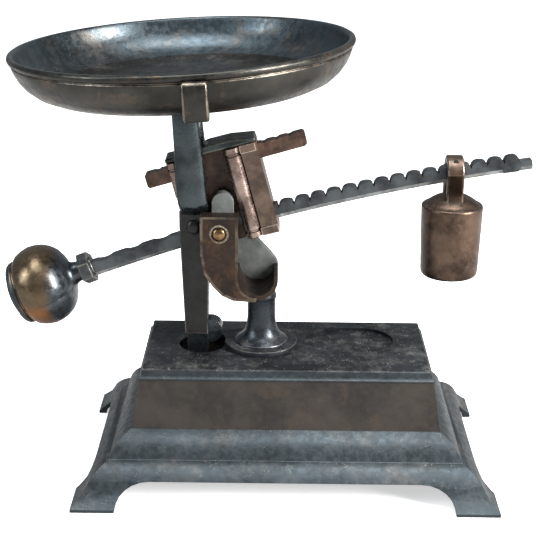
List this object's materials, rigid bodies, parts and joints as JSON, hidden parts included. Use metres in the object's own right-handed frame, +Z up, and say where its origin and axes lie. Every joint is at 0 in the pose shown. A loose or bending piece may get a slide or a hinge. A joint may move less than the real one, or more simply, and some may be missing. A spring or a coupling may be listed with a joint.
{
  "type": "miniature beam scale",
  "caption": "Small cast counter scale: round pan on a guided stem, notched beam with counterweight ball and sliding poise, column and yoke on a stepped hollow base.",
  "frame": {"origin": "centre of the base's footprint, on the surface it stands on", "axes": "+X to the poise end of the beam, +Y to the back, +Z up"},
  "size_m": [0.0859, 0.0548, 0.0721],
  "materials": {
    "dark_patina": "blue-black patina on a zinc casting",
    "brown_bronze": "patina rubbed through to brown bronze",
    "bare_grey": "dull bare casting",
    "brass": "dull rounded pin end"
  },
  "bodies": {
    "base": {"base_casting": "dark_patina", "column_plate": "dark_patina", "column": "dark_patina", "column_washer": "dark_patina", "yoke_front": "dark_patina", "yoke_rear": "bare_grey", "guide_tongue": "bare_grey", "fulcrum_pin": "brass"},
    "beam": {"main_bar": "dark_patina", "tare_bar": "brown_bronze", "beam_frame": "brown_bronze", "frame_end_plate": "brown_bronze", "frame_top_cap": "brown_bronze", "front_right_rod": "brown_bronze", "rear_right_rod": "brown_bronze", "front_left_rod": "brown_bronze", "rear_left_rod": "brown_bronze", "counterweight_ball": "dark_patina", "counterweight_collar": "dark_patina", "counterweight_stud": "dark_patina", "counterweight_button": "dark_patina"},
    "stem": {"stem_front_leg": "dark_patina", "stem_rear_leg": "dark_patina", "stem_head": "dark_patina", "stem_foot": "dark_patina", "keeper_pin": "dark_patina", "load_pin": "dark_patina", "pan": "dark_patina", "pan_rivet": "dark_patina"},
    "rider": {"poise_rider": "dark_patina"},
    "poise": {"poise_loop": "brown_bronze", "poise_weight": "brown_bronze"}
  },
  "joints": [
    {"name": "beam_pivot", "type": "hinge", "parent": "base", "child": "beam", "pos_m": [-0.01095, 0, 0.0413], "axis": [0, 1, 0], "range_deg": [0, 18]},
    {"name": "stem_pivot", "type": "hinge", "parent": "beam", "child": "stem", "pos_m": [-0.0151, 0, 0.0414], "axis": [0, 1, 0], "range_deg": [-18, 0]},
    {"name": "poise_slide", "type": "slide", "parent": "beam", "child": "rider", "axis": [0.9809, 0, 0.1947], "range_m": [-0.0185, 0.011]},
    {"name": "poise_swing", "type": "hinge", "parent": "rider", "child": "poise", "pos_m": [0.0265, 0, 0.05222], "axis": [0, 1, 0], "range_deg": [-18, 0]}
  ],
  "couplings": [
    {"joint": "stem_pivot", "follows": "beam_pivot", "ratio": -1},
    {"joint": "poise_swing", "follows": "beam_pivot", "ratio": -1}
  ]
}
